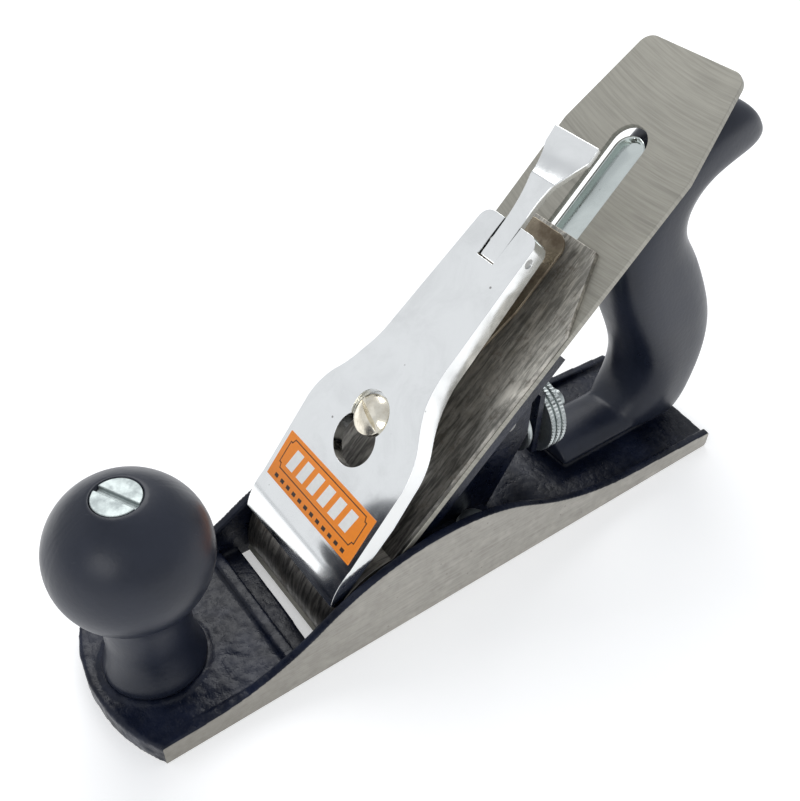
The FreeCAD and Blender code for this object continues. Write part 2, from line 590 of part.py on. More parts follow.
def cap_iron():
    body = new_body("cap_iron")
    side_pad(body, [("cap_edge", "cap_seat"), ("cap_edge + 2", "cap_seat"),
                    ("cap_bend - 3", "cap_seat", "hump_inner_radius", "right"),
                    ("cap_top", "cap_seat"), ("cap_top", "cap_thickness"),
                    ("cap_bend", "cap_thickness"),
                    ("cap_edge", "cap_edge_height", "hump_radius", "left")], "cap_width")
    for sign in ("", "-"):
        plate_pocket(body, lambda s: outline(s, [
            ("cap_corner", f"{sign}cap_width / 2"), ("cap_top", f"{sign}cap_top_width / 2"),
            ("cap_top + 5", f"{sign}cap_top_width / 2"), ("cap_top + 5", f"{sign}cap_width")]))
    plate_pocket(body, lambda s: slot_outline(s, "cap_window_low", "cap_window_high",
                                              "cap_window_half"))
    plate_pocket(body, lambda s: rectangle(
        s, "yoke_at - cap_finger_half_length", "yoke_at + cap_finger_half_length",
        "-cap_finger_half_width", "cap_finger_half_width"))
    plate_pocket(body, lambda s: circle(s, "cap_screw_at", "0", "cap_screw_radius"))
    place_on_bed(body)
    screw = new_body("cap_iron_screw")
    under = "0 - iron_thickness - cap_screw_head_height"
    plan_pad(screw, lambda s: circle(s, "cap_screw_at", "0", "cap_screw_head"),
             "cap_screw_head_height", under)
    plan_pad(screw, lambda s: circle(s, "cap_screw_at", "0", "cap_screw_radius"),
             "iron_thickness + cap_thickness + 1", "0 - iron_thickness")
    plan_pocket(screw, lambda s: rectangle(
        s, "cap_screw_at - cap_screw_head - 2", "cap_screw_at + cap_screw_head + 2",
        "-cap_screw_slot / 2", "cap_screw_slot / 2"),
        length="cap_screw_head_height / 2", start=under)
    place_on_bed(screw)


# ---------------------------------------------------------------- lever cap

def lever_plan(sign):
    """Half of the lever cap's outline that is cut away on one side."""
    far = f"{sign}40"
    turns = ("right", "left") if sign == "" else ("left", "right")
    return [
        ("lever_tip - 5", f"{sign}lever_tip_half"), ("lever_tip", f"{sign}lever_tip_half"),
        ("lever_wide_at", f"{sign}lever_wide_half"),
        ("lever_wide_at + 12", f"{sign}(lever_wide_half - 4.2)", "lever_shoulder_radius", turns[0]),
        ("lever_narrow_at", f"{sign}lever_narrow_half", "lever_shoulder_radius * 1.5", turns[1]),
        ("lever_top - lever_corner", f"{sign}lever_top_half"),
        ("lever_top", f"{sign}(lever_top_half - lever_corner)", "lever_corner", turns[0]),
        ("lever_top + 5", f"{sign}(lever_top_half - lever_corner)"),
        ("lever_top + 5", far), ("lever_tip - 5", far)]


def lever_height(station):
    """Height of the lever cap's face between the bend and the ridge."""
    slope = "(lever_ridge_high - lever_bend_high) / (lever_ridge - lever_bend)"
    return f"lever_bend_high + ({station} - lever_bend) * {slope}"


def lever_cap():
    body = new_body("lever_cap")
    side_pad(body, [("lever_tip", "lever_tip_low"), ("lever_skirt_at", "lever_skirt_low"),
                    ("lever_low_at", "lever_low"), ("lever_top", "lever_low"),
                    ("lever_top", "lever_top_high"), ("lever_ridge", "lever_ridge_high"),
                    ("lever_bend", "lever_bend_high"),
                    ("lever_tip", "lever_tip_high", "lever_bend_radius", "left")],
             "lever_wide_half * 2 + 2")
    for sign in ("", "-"):
        plate_pocket(body, lambda s: outline(s, lever_plan(sign)))
    side_pocket(body, [("hollow_low", "0"), ("hollow_split", "0"),
                       ("hollow_split", lever_height("hollow_split") + " - lever_plate"),
                       ("hollow_low", lever_height("hollow_low") + " - lever_plate")],
                "hollow_wide * 2")
    side_pocket(body, [("hollow_split - 1", "0"), ("lever_top - lever_end_wall", "0"),
                       ("lever_top - lever_end_wall", "lever_top_high - lever_plate"),
                       ("lever_ridge", "lever_ridge_high - lever_plate"),
                       ("hollow_split - 1", lever_height("hollow_split - 1") + " - lever_plate")],
                "hollow_narrow * 2")
    plan_pad(body, lambda s: circle(s, "spring_rivet_at", "0", "rivet_boss_radius"),
             "lever_top_high - 2 - spring_root - spring_thickness", "spring_root + spring_thickness")
    plan_pocket(body, lambda s: circle(s, "lever_screw_at", "0", "recess_radius"),
                start="recess_floor")
    plan_pocket(body, lambda s: circle(s, "keyhole_at", "0", "keyhole_radius"))
    plan_pocket(body, lambda s: slot_outline(s, "keyhole_at + 4", "keyhole_neck_at", "keyhole_neck"))
    plan_pocket(body, lambda s: rectangle(s, "cam_slot_at", "lever_top + 5", "-cam_slot_half",
                                          "cam_slot_half"))
    plan_pocket(body, lambda s: circle(s, "spring_rivet_at", "0", "spring_rivet_radius"),
                length="spring_root + 4")
    cross_hole(body, "cam_pin_at", "cam_pin_high", "cam_pin_radius")
    place_on_bed(body)


def lever_cap_parts():
    spring = new_body("lever_cap_spring")
    side_pad(spring, [
        ("spring_low", "spring_root"), ("spring_bend_a", "spring_root"), ("spring_bend_b", "spring_free"),
        ("spring_high", "spring_free"), ("spring_high", "spring_free + spring_thickness"),
        ("spring_bend_b", "spring_free + spring_thickness"),
        ("spring_bend_a", "spring_root + spring_thickness"),
        ("spring_low", "spring_root + spring_thickness")], "spring_half * 2")
    plan_pocket(spring, lambda s: circle(s, "spring_rivet_at", "0", "spring_rivet_radius"))
    end = value("spring_high")
    round_edges(spring, "spring_corner", lambda e: e.BoundBox.XMin > end - 0.1 and e.BoundBox.YLength < 0.1)
    place_on_bed(spring)
    rivet = new_body("spring_rivet")
    plan_pad(rivet, lambda s: circle(s, "spring_rivet_at", "0", "spring_rivet_radius"), "5",
             "spring_root - 1")
    plan_pad(rivet, lambda s: circle(s, "spring_rivet_at", "0",
                                     "spring_rivet_radius + rivet_head_margin"), "1", "spring_root - 1")
    place_on_bed(rivet)
    pin = bar("cam_pin", ("cam_pin_at", "stud_gap - lever_top_half", "cam_pin_high"), "cam_pin_radius",
              "(lever_top_half - stud_gap) * 2", axis="y")
    place_on_bed(pin)
    low, high = lever_height("label_low"), lever_height("label_high")
    label = new_body("label")
    side_pad(label, [("label_low", low), ("label_high", high), ("label_high", f"{high} + label_thickness"),
                     ("label_low", f"{low} + label_thickness")], "label_half * 2")
    place_on_bed(label)


def lever_cap_screw():
    body = new_body("lever_cap_screw")
    seat = "recess_floor + 0.1"
    sketch = new_sketch(body, "XZ_Plane")
    outline(sketch, [("0", "0 - iron_thickness - 7"), ("lever_screw_shank", "0 - iron_thickness - 7"),
                     ("lever_screw_shank", seat), ("lever_screw_head", seat),
                     ("lever_screw_head", f"{seat} + lever_screw_rim"),
                     ("0", f"{seat} + lever_screw_crown", "lever_screw_crown_radius", "left")])
    revolve(body, sketch)
    plan_pocket(body, lambda s: rectangle(
        s, "0 - lever_screw_head - 2", "lever_screw_head + 2", "-lever_screw_slot / 2",
        "lever_screw_slot / 2"), start=f"{seat} + lever_screw_crown / 2")
    turn = Rotation(Vector(0, 0, 1), value("lever_screw_slot_turn"))
    body.Placement = FreeCAD.Placement(Vector(value("lever_screw_at"), 0, 0), turn)
    place_on_bed(body)


def cam_lever():
    body = new_body("cam_lever")
    top = "lever_top_high"
    side_pad(body, [
        ("cam_slot_at + 0.4", f"{top} - 0.3"), ("cam_slot_at + 0.4", f"{top} - 2.6"),
        ("cam_pin_at - cam_hub_radius", "cam_pin_high"),
        ("cam_pin_at", "cam_pin_high - cam_hub_radius - cam_lobe", "cam_hub_round", "left"),
        ("cam_pin_at + cam_hub_radius + 1", "cam_pin_high - 1", "cam_hub_round", "left"),
        ("lever_top + 1", f"{top} - 2"), ("cam_paddle_at - 9", f"{top} - 0.8"),
        ("cam_tip", "cam_tip_high - 1.6", "30", "left"), ("cam_tip", "cam_tip_high"),
        ("cam_paddle_at - 9", f"{top} + 1.2", "28", "right"), ("lever_top + 1", top)],
        "cam_paddle_half * 2")
    for sign in ("", "-"):
        turns = ("left", "right") if sign == "" else ("right", "left")
        plan_pocket(body, lambda s: outline(s, [
            ("cam_slot_at - 10", f"{sign}cam_neck_half"), ("lever_top + 3", f"{sign}cam_neck_half"),
            ("cam_paddle_at", f"{sign}(cam_paddle_half - 0.4)", "cam_flare_radius", turns[0]),
            ("cam_tip + 5", f"{sign}cam_paddle_half"), ("cam_tip + 5", f"{sign}20"),
            ("cam_slot_at - 10", f"{sign}20")]), start="-through / 4")
    cross_hole(body, "cam_pin_at", "cam_pin_high", "cam_pin_radius + running")
    place_on_bed(body)


# ---------------------------------------------------------------- depth adjustment

def depth_adjustment():
    bar("depth_stud", ("web_front_x - depth_stud_depth", "0", "nut_axis_z"), "stud_radius",
        "web_front_x - depth_stud_depth - depth_stud_end", axis="x")
    # knurled rings with grooves between them, a grooved hub and a front collar
    body = new_body("depth_nut")
    rings = [("nut_hub_radius", "nut_collar_rear"), ("nut_hub_radius", "nut_ring_front"),
             ("nut_radius", "nut_ring_front")]
    for step in (1, 2):
        start = f"nut_ring_front - {step} * nut_ring_pitch"
        rings += [("nut_radius", f"{start} + nut_ring_pitch - nut_ring_width"),
                  ("nut_groove_radius", f"{start} + nut_ring_pitch - nut_ring_width"),
                  ("nut_groove_radius", start), ("nut_radius", start)]
    last = "nut_ring_front - 2 * nut_ring_pitch - nut_ring_width"
    rings += [("nut_radius", last), ("stud_radius + running", last),
              ("stud_radius + running", "nut_collar_front"), ("nut_collar_radius", "nut_collar_front"),
              ("nut_collar_radius", "nut_collar_rear")]
    sketch = new_sketch(body, "XZ_Plane")
    outline(sketch, rings)
    revolve(body, sketch)
    body.Placement = FreeCAD.Placement(Vector(0, 0, value("nut_axis_z")), Rotation(Vector(0, 1, 0), 90))


def yoke():
    body = new_body("yoke")
    hub_x, hub_z = bed_point("yoke_at", "0 - yoke_depth")
    sketch = new_sketch(body, "XZ_Plane")
    circle(sketch, hub_x, hub_z, "yoke_hub_radius")
    pad(body, sketch, "yoke_half_width * 2", symmetric=True)
    side_pad(body, [bed_point("yoke_at - finger_half_length", "0 - yoke_depth"),
                    bed_point("yoke_at - finger_half_length", "finger_tip"),
                    bed_point("yoke_at + finger_half_length", "finger_tip"),
                    bed_point("yoke_at + finger_half_length", "0 - yoke_depth")],
             "finger_half_width * 2")
    back, front = "prong_x - prong_thickness / 2", "prong_x + prong_thickness / 2"
    side_pad(body, [(hub_x, hub_z), (hub_x, f"{hub_z} + arm_rise"), (back, "prong_top_z"),
                    (back, "prong_top_z - arm_depth"), (front, "prong_top_z - arm_depth")], "arm_width")
    side_pad(body, [(back, "prong_low_z"), (front, "prong_low_z"), (front, "prong_top_z"),
                    (back, "prong_top_z")], "prong_outer * 2")
    side_pocket(body, [(f"{back} - 2", "prong_low_z - 5"), (f"{front} + 0.5", "prong_low_z - 5"),
                       (f"{front} + 0.5", "prong_top_z - prong_bridge"),
                       (f"{back} - 2", "prong_top_z - prong_bridge")], "prong_inner * 2")
    cross_hole(body, hub_x, hub_z, "yoke_pin_radius + running")
    pin = bar("yoke_pin", ("yoke_at", "0 - frog_rib_half_width", "0 - yoke_depth"), "yoke_pin_radius",
              "frog_rib_half_width * 2", axis="y")
    place_on_bed(pin)


# ---------------------------------------------------------------- lateral adjustment

def lateral_adjustment():
    body = new_body("lateral_lever")
    low = "0 - lateral_depth - lateral_sheet"
    plan_pad(body, lambda s: slot_outline(s, "lateral_low + lateral_half_width",
                                          "lateral_high - lateral_half_width", "lateral_half_width"),
             "lateral_sheet", low)
    for sign in ("", "-"):
        inner, outer = f"{sign}(lateral_half_width - lateral_sheet)", f"{sign}lateral_half_width"
        plan_pad(body, lambda s: rectangle(s, "lateral_flange_from", "lateral_high - lateral_half_width",
                                           inner, outer), "lateral_flange", f"{low} - lateral_flange + 0.5")
    plate_pocket(body, lambda s: circle(s, "lateral_rivet_at", "0", "lateral_rivet_radius + running"))
    plate_pocket(body, lambda s: circle(s, "disc_at", "0", "disc_pin_radius"))
    place_on_bed(body)
    rivet = new_body("lateral_rivet")
    plan_pad(rivet, lambda s: circle(s, "lateral_rivet_at", "0", "lateral_rivet_radius"),
             "bed_plate + iron_thickness - lateral_depth + 0.1", "0 - iron_thickness - bed_plate")
    plan_pad(rivet, lambda s: circle(s, "lateral_rivet_at", "0",
                                     "lateral_rivet_radius + lateral_rivet_margin"),
             "1", "0.1 - lateral_depth")
    place_on_bed(rivet)
    disc = new_body("lateral_disc")
    plan_pad(disc, lambda s: circle(s, "disc_at", "0", "disc_radius"), "lateral_depth - 0.4",
             "0.05 - lateral_depth")
    plan_pad(disc, lambda s: circle(s, "disc_at", "0", "disc_pin_radius"), "lateral_sheet + 0.1", low)
    place_on_bed(disc)


base_casting()
front_knob()
rear_tote()
frog()
frog_fastenings()
cutting_iron()
cap_iron()
lever_cap()
lever_cap_parts()
lever_cap_screw()
cam_lever()
depth_adjustment()
yoke()
lateral_adjustment()
doc.recompute()

NODES = [
    "base_casting", "front_knob", "knob_stud", "knob_nut", "rear_tote", "tote_stud", "tote_nut",
    "frog", "frog_screws", "frog_washers", "cutting_iron", "cap_iron", "cap_iron_screw",
    "lever_cap", "lever_cap_spring", "spring_rivet", "cam_pin", "label", "lever_cap_screw",
    "cam_lever", "depth_stud", "depth_nut", "yoke", "yoke_pin", "lateral_lever", "lateral_rivet",
    "lateral_disc",
]

for item in doc.Objects:
    if {"Invalid", "Error"} & set(item.State):
        raise RuntimeError(f"{item.Name}: {item.State}")
pieces = {name: doc.getObjectsByLabel(name)[0] for name in NODES}
for name, piece in pieces.items():
    if piece.Shape.isNull() or not piece.Shape.isValid():
        raise RuntimeError(name + " has no valid shape")

os.makedirs("parts", exist_ok=True)
for name, piece in pieces.items():
    piece.Shape.exportStep(f"parts/{name}.step")
    print(f"{name:18s} {len(piece.Shape.Solids)} solid(s) {piece.Shape.Volume / 1000:8.2f} cm3")
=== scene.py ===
"""Bench hand plane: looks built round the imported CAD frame. Metres, +X toe, +Y left cheek, +Z up."""
import json
import math

import bmesh
import bpy
from mathutils import Matrix, Vector, noise


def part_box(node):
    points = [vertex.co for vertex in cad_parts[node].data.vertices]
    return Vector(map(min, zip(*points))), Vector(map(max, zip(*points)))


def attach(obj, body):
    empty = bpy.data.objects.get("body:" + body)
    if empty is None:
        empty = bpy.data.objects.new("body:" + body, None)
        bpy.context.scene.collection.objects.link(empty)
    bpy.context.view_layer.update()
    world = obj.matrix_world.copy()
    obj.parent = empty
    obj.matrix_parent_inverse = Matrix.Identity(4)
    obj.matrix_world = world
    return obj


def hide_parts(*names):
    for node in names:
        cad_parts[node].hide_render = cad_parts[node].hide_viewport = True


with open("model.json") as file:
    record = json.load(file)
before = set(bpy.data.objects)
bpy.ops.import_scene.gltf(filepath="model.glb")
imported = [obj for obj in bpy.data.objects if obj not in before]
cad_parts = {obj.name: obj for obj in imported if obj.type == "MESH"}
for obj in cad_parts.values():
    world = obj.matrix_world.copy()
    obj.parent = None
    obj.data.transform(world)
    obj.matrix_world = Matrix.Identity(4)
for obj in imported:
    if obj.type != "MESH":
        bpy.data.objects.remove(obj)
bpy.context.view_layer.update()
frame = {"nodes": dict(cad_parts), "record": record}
nodes = frame["nodes"]
body_of = {n: b for b, members in frame["record"]["behaviour"]["bodies"].items() for n in members}
MM = 0.001

# the bed: where the iron's face meets the sole, and its directions up the slope and out of the face
BED_FOOT = Vector((50.8 * MM, 0, 0))
BED_UP = Vector((-math.sqrt(0.5), 0, math.sqrt(0.5)))
BED_OUT = Vector((math.sqrt(0.5), 0, math.sqrt(0.5)))


def on_bed(up, side, out):
    """World place of a point given in millimetres on the bed."""
    return BED_FOOT + BED_UP * (up * MM) + Vector((0, side * MM, 0)) + BED_OUT * (out * MM)


# ---------------------------------------------------------------- materials

class Nodes:
    """Short way to write a material's node tree."""

    def __init__(self, name):
        self.material = bpy.data.materials.new(name)
        self.material.use_nodes = True
        self.tree = self.material.node_tree
        self.tree.nodes.clear()
        self.output = self.tree.nodes.new("ShaderNodeOutputMaterial")
        self.shader = self.tree.nodes.new("ShaderNodeBsdfPrincipled")
        self.link(self.shader.outputs[0], self.output.inputs["Surface"])
        self.place = self.tree.nodes.new("ShaderNodeTexCoord").outputs["Object"]

    def link(self, source, target):
        self.tree.links.new(source, target)

    def put(self, socket, value):
        if isinstance(value, bpy.types.NodeSocket):
            self.link(value, socket)
        elif isinstance(value, (tuple, list)) and len(value) == 3 and socket.type == "RGBA":
            socket.default_value = (*value, 1)
        else:
            socket.default_value = value

    def set(self, **values):
        for name, value in values.items():
            self.put(self.shader.inputs[name.replace("_", " ")], value)

    def scaled(self, x, y, z, turn=(0, 0, 0)):
        """Object coordinates turned, then scaled on each axis."""
        node = self.tree.nodes.new("ShaderNodeMapping")
        node.vector_type = "TEXTURE"
        node.inputs["Rotation"].default_value = turn
        node.inputs["Scale"].default_value = (1 / x, 1 / y, 1 / z)
        self.link(self.place, node.inputs["Vector"])
        return node.outputs[0]

    def stretched(self, vector, along, across):
        """A vector scaled along its first axis and across on its second."""
        node = self.tree.nodes.new("ShaderNodeVectorMath")
        node.operation = "MULTIPLY"
        node.inputs[1].default_value = (along, across, 1)
        self.link(vector, node.inputs[0])
        return node.outputs[0]

    def noise(self, scale, detail=3, roughness=0.5, vector=None, distortion=0.0):
        node = self.tree.nodes.new("ShaderNodeTexNoise")
        node.inputs["Scale"].default_value = scale
        node.inputs["Detail"].default_value = detail
        node.inputs["Roughness"].default_value = roughness
        node.inputs["Distortion"].default_value = distortion
        self.link(vector or self.place, node.inputs["Vector"])
        return node.outputs["Fac"]

    def specks(self, scale, size):
        """1 in small scattered dots, 0 between them."""
        node = self.tree.nodes.new("ShaderNodeTexVoronoi")
        node.inputs["Scale"].default_value = scale
        self.link(self.place, node.inputs["Vector"])
        return self.ramp(node.outputs["Distance"], size, size * 0.5)

    def ramp(self, value, low, high, bottom=0.0, top=1.0):
        node = self.tree.nodes.new("ShaderNodeMapRange")
        node.interpolation_type = "SMOOTHSTEP"
        for name, number in (("From Min", low), ("From Max", high), ("To Min", bottom), ("To Max", top)):
            self.put(node.inputs[name], number)
        self.link(value, node.inputs["Value"])
        return node.outputs[0]

    def mix(self, factor, first, second):
        node = self.tree.nodes.new("ShaderNodeMix")
        node.data_type = "RGBA"
        self.put(node.inputs[0], factor)
        self.put(node.inputs[6], first)
        self.put(node.inputs[7], second)
        return node.outputs[2]

    def math(self, operation, first, second=0.0):
        node = self.tree.nodes.new("ShaderNodeMath")
        node.operation = operation
        self.put(node.inputs[0], first)
        self.put(node.inputs[1], second)
        return node.outputs[0]

    def axis(self, index):
        node = self.tree.nodes.new("ShaderNodeSeparateXYZ")
        self.link(self.place, node.inputs[0])
        return node.outputs[index]

    def bump(self, height, distance, strength=1.0, below=None):
        node = self.tree.nodes.new("ShaderNodeBump")
        node.inputs["Strength"].default_value = strength
        node.inputs["Distance"].default_value = distance
        self.link(height, node.inputs["Height"])
        if below is not None:
            self.link(below, node.inputs["Normal"])
        return node.outputs[0]


NAVY, DEEP_NAVY = (0.009, 0.013, 0.030), (0.003, 0.005, 0.013)
WARM_STEEL, DULL_STEEL = (0.47, 0.45, 0.41), (0.36, 0.345, 0.315)


def enamel_layers(m):
    """Colour, roughness and bump of lumpy gloss enamel."""
    broad = m.noise(90, 2)
    lumps = m.noise(420, 3, 0.6)
    fine = m.noise(1800, 2)
    colour = m.mix(m.ramp(broad, 0.35, 0.7), DEEP_NAVY, NAVY)
    rough = m.ramp(lumps, 0.3, 0.75, 0.26, 0.46)
    bump = m.bump(lumps, 0.0006, 0.5, m.bump(fine, 0.0001, 0.25))
    m.set(Specular_IOR_Level=0.3)
    return colour, rough, bump


def enamel():
    m = Nodes("enamel")
    colour, rough, bump = enamel_layers(m)
    m.set(Base_Color=colour, Roughness=rough, Normal=bump, Coat_Weight=0.15, Coat_Roughness=0.15)
    return m.material


def casting_material():
    """Enamel, with the outer sides and the sole ground bare."""
    m = Nodes("enamel_and_ground_iron")
    colour, rough, bump = enamel_layers(m)
    side_from, side_full = 0.02533, 0.02545
    sole_from, sole_full = 0.00025, 0.00008
    side = m.ramp(m.math("ABSOLUTE", m.axis(1)), side_from, side_full)
    sole = m.ramp(m.axis(2), sole_from, sole_full)
    bare = m.math("MAXIMUM", side, sole)
    streaks = m.noise(1, 4, 0.6, m.scaled(60, 900, 2600))
    mottle = m.noise(160, 4, 0.6)
    pits = m.specks(210, 0.09)
    ground = m.mix(m.ramp(streaks, 0.3, 0.7), WARM_STEEL, DULL_STEEL)
    ground = m.mix(m.ramp(mottle, 0.45, 0.75, 0, 0.5), ground, (0.54, 0.52, 0.475))
    # painted shade: the bare ground steel is darkened towards the toe
    ground = m.mix(m.ramp(m.axis(0), 0.02, 0.1, 0, 0.7), ground, (0.27, 0.255, 0.225))
    ground = m.mix(m.math("MULTIPLY", pits, 0.5), ground, (0.16, 0.15, 0.14))
    ground_bump = m.bump(streaks, 0.00005, 0.3)
    m.set(Base_Color=m.mix(bare, colour, ground), Metallic=m.math("MULTIPLY", bare, 0.85),
          Roughness=m.math("ADD", m.math("MULTIPLY", bare, 0.22), rough))
    blend = m.tree.nodes.new("ShaderNodeMix")
    blend.data_type = "VECTOR"
    m.put(blend.inputs[0], bare)
    m.put(blend.inputs[4], bump)
    m.put(blend.inputs[5], ground_bump)
    m.set(Normal=blend.outputs[1])
    return m.material


def plastic():
    """Moulded charcoal plastic, satin gloss with faint handling marks."""
    m = Nodes("charcoal_plastic")
    mottle = m.noise(45, 4, 0.6)
    orange_peel = m.noise(700, 2)
    scuffs = m.noise(1, 3, 0.7, m.scaled(900, 160, 420, (0.4, 0.2, 0.6)))
    colour = m.mix(m.ramp(mottle, 0.3, 0.75), (0.008, 0.011, 0.021), (0.015, 0.019, 0.033))
    colour = m.mix(m.ramp(scuffs, 0.66, 0.8, 0, 0.4), colour, (0.042, 0.048, 0.06))
    m.set(Base_Color=colour, Roughness=m.ramp(mottle, 0.3, 0.7, 0.27, 0.4), Specular_IOR_Level=0.42,
          Normal=m.bump(orange_peel, 0.00012, 0.35))
    return m.material


def chrome(name="chrome", tint=(0.97, 0.98, 0.975)):
    """Polished plate with soft smears and a few dark specks."""
    m = Nodes(name)
    smears = m.noise(60, 4, 0.65, distortion=0.6)
    waves = m.noise(38, 2)
    specks = m.specks(120, 0.055)
    colour = m.mix(m.ramp(smears, 0.35, 0.75), tint, tuple(c * 0.9 for c in tint))
    colour = m.mix(m.math("MULTIPLY", specks, 0.7), colour, (0.12, 0.11, 0.1))
    m.set(Base_Color=colour, Metallic=1.0, Roughness=m.ramp(smears, 0.3, 0.8, 0.1, 0.26),
          Normal=m.bump(waves, 0.0006, 0.12))
    return m.material


def blade_steel():
    """Bright steel with fine grinding lines that run across the bed and sag to one side."""
    m = Nodes("blade_steel")
    light, dark, glint = (0.4, 0.385, 0.335), (0.25, 0.24, 0.21), 1.15
    contrast, rough = 0.6, 0.42
    sag, level_side = 4.4, 0.016
    up = m.math("MULTIPLY", m.math("SUBTRACT", m.axis(2), m.axis(0)), math.sqrt(0.5))
    off_level = m.math("SUBTRACT", m.axis(1), level_side)
    bow = m.math("MULTIPLY", m.math("MULTIPLY", off_level, off_level), sag)
    line = m.tree.nodes.new("ShaderNodeCombineXYZ")
    m.put(line.inputs[0], m.math("SUBTRACT", up, bow))
    m.put(line.inputs[1], m.axis(1))
    lines = m.noise(1, 3, 0.7, m.stretched(line.outputs[0], 1500, 45), 0.25)
    coarse = m.noise(1, 2, 0.6, m.stretched(line.outputs[0], 520, 18), 0.3)
    patches = m.noise(48, 3, 0.6)
    colour = m.mix(m.ramp(lines, 0.28, 0.72, 0, contrast), light, dark)
    colour = m.mix(m.ramp(coarse, 0.56, 0.7, 0, contrast), colour, dark)
    colour = m.mix(m.ramp(patches, 0.45, 0.8, 0, 0.3), colour, tuple(c * glint for c in light))
    m.set(Base_Color=colour, Metallic=0.55, Roughness=m.ramp(lines, 0.3, 0.7, rough, rough + 0.12),
          Normal=m.bump(lines, 0.00004, 0.5))
    return m.material


def patina_and_painted_shade_steel():
    """Mottled sheet steel, streaked up its length, with painted shade making it darker and browner towards
    its low edge.
    """
    m = Nodes("patina_and_painted_shade_steel")
    streaks = m.noise(1, 5, 0.7, m.scaled(120, 900, 120, (0, math.radians(45), 0)), 0.5)
    mottle = m.noise(170, 5, 0.7)
    # painted shade: the steel is darkened towards its low edge, which reaches down into the throat
    clear_of_painted_shade = m.ramp(m.axis(2), 0.025, 0.08)
    dark = m.mix(clear_of_painted_shade, (0.05, 0.047, 0.045), (0.26, 0.25, 0.225))
    light = m.mix(clear_of_painted_shade, (0.2, 0.19, 0.175), (0.62, 0.59, 0.53))
    colour = m.mix(m.ramp(streaks, 0.38, 0.64), dark, light)
    colour = m.mix(m.ramp(mottle, 0.52, 0.7, 0, 0.6), colour, (0.11, 0.085, 0.062))
    m.set(Base_Color=colour, Metallic=0.85, Roughness=m.ramp(mottle, 0.3, 0.7, 0.3, 0.55),
          Normal=m.bump(mottle, 0.00008, 0.4))
    return m.material


def straw_steel():
    m = Nodes("straw_steel")
    mottle = m.noise(130, 4, 0.65)
    colour = m.mix(m.ramp(mottle, 0.35, 0.7), (0.3, 0.255, 0.19), (0.13, 0.1, 0.07))
    m.set(Base_Color=colour, Metallic=0.9, Roughness=m.ramp(mottle, 0.3, 0.7, 0.22, 0.45))
    return m.material


def plated(name, light, dark, rough):
    """Small plated hardware: fine turning marks and clouding."""
    m = Nodes(name)
    cloud = m.noise(260, 4, 0.65)
    fine = m.noise(2600, 2)
    colour = m.mix(m.ramp(cloud, 0.35, 0.7), light, dark)
    m.set(Base_Color=colour, Metallic=0.95, Roughness=m.ramp(cloud, 0.3, 0.7, rough, rough + 0.16),
          Normal=m.bump(fine, 0.00003, 0.4))
    return m.material


def print_ink(name, colour, rough=0.45):
    m = Nodes(name)
    grain = m.noise(900, 3)
    m.set(Base_Color=m.mix(m.ramp(grain, 0.3, 0.7, 0, 0.25), colour, tuple(c * 0.82 for c in colour)),
          Roughness=m.ramp(grain, 0.3, 0.7, rough, rough + 0.1))
    return m.material


ENAMEL = enamel()
CASTING = casting_material()
PLASTIC = plastic()
CHROME = chrome()
BLADE = blade_steel()
PATINA_AND_PAINTED_SHADE = patina_and_painted_shade_steel()
STRAW = straw_steel()
ZINC = plated("zinc_plate", (0.66, 0.7, 0.69), (0.46, 0.5, 0.5), 0.28)
# rougher copy of the zinc for the knob nut; its darker colour is painted shade that dims the key light's
# reflection on the nut
DULL_ZINC_PAINTED_SHADE = plated("dull_zinc_painted_shade", (0.5, 0.55, 0.54), (0.38, 0.42, 0.42), 0.44)
LEVER_CHROME = chrome("lever_chrome", (0.7, 0.75, 0.73))
NICKEL = plated("nickel_plate", (0.95, 0.9, 0.78), (0.74, 0.68, 0.56), 0.14)
STEEL = plated("plain_steel", (0.5, 0.5, 0.49), (0.3, 0.3, 0.295), 0.3)


# ---------------------------------------------------------------- pieces

def finish_piece(piece, node, material):
    """Shows a piece in place of a CAD node, on the node's own body."""
    piece.data.materials.clear()
    piece.data.materials.append(material)
    for polygon in piece.data.polygons:
        polygon.use_smooth = True
    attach(piece, body_of[node])
    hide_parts(node)


def copy_of(node):
    """New object with a cleaned copy of a CAD node's mesh."""
    mesh = nodes[node].data.copy()
    piece = bpy.data.objects.new(node + "_piece", mesh)
    bpy.context.scene.collection.objects.link(piece)
    shape = bmesh.new()
    shape.from_mesh(mesh)
    bmesh.ops.remove_doubles(shape, verts=shape.verts, dist=1e-6)
    bmesh.ops.dissolve_limit(shape, angle_limit=math.radians(0.4), verts=shape.verts, edges=shape.edges)
    shape.to_mesh(mesh)
    shape.free()
    return piece


def apply_modifiers(piece):
    view = bpy.context.evaluated_depsgraph_get()
    view.update()
    mesh = bpy.data.meshes.new_from_object(piece.evaluated_get(view))
    piece.modifiers.clear()
    piece.data = mesh


def machined(node, material, width, segments=3):
    """CAD shape with its sharp edges eased; the width is in millimetres."""
    piece = copy_of(node)
    bevel = piece.modifiers.new("ease", "BEVEL")
    bevel.width = width * MM
    bevel.segments = segments
    bevel.limit_method = "ANGLE"
    bevel.angle_limit = math.radians(32)
    bevel.miter_outer = "MITER_ARC"
    even = piece.modifiers.new("even", "WEIGHTED_NORMAL")
    even.weight = 100
    finish_piece(piece, node, material)
    apply_modifiers(piece)


def remeshed(node, voxel, smooth):
    """CAD shape as an even skin with softened edges."""
    piece = copy_of(node)
    skin = piece.modifiers.new("skin", "REMESH")
    skin.mode = "VOXEL"
    skin.voxel_size = voxel * MM
    relax = piece.modifiers.new("relax", "SMOOTH")
    relax.factor = 0.5
    relax.iterations = smooth
    apply_modifiers(piece)
    return piece


def new_object(name, shape):
    """Turns a finished bmesh into an object in the scene."""
    bmesh.ops.recalc_face_normals(shape, faces=shape.faces)
    mesh = bpy.data.meshes.new(name)
    shape.to_mesh(mesh)
    shape.free()
    piece = bpy.data.objects.new(name, mesh)
    bpy.context.scene.collection.objects.link(piece)
    return piece


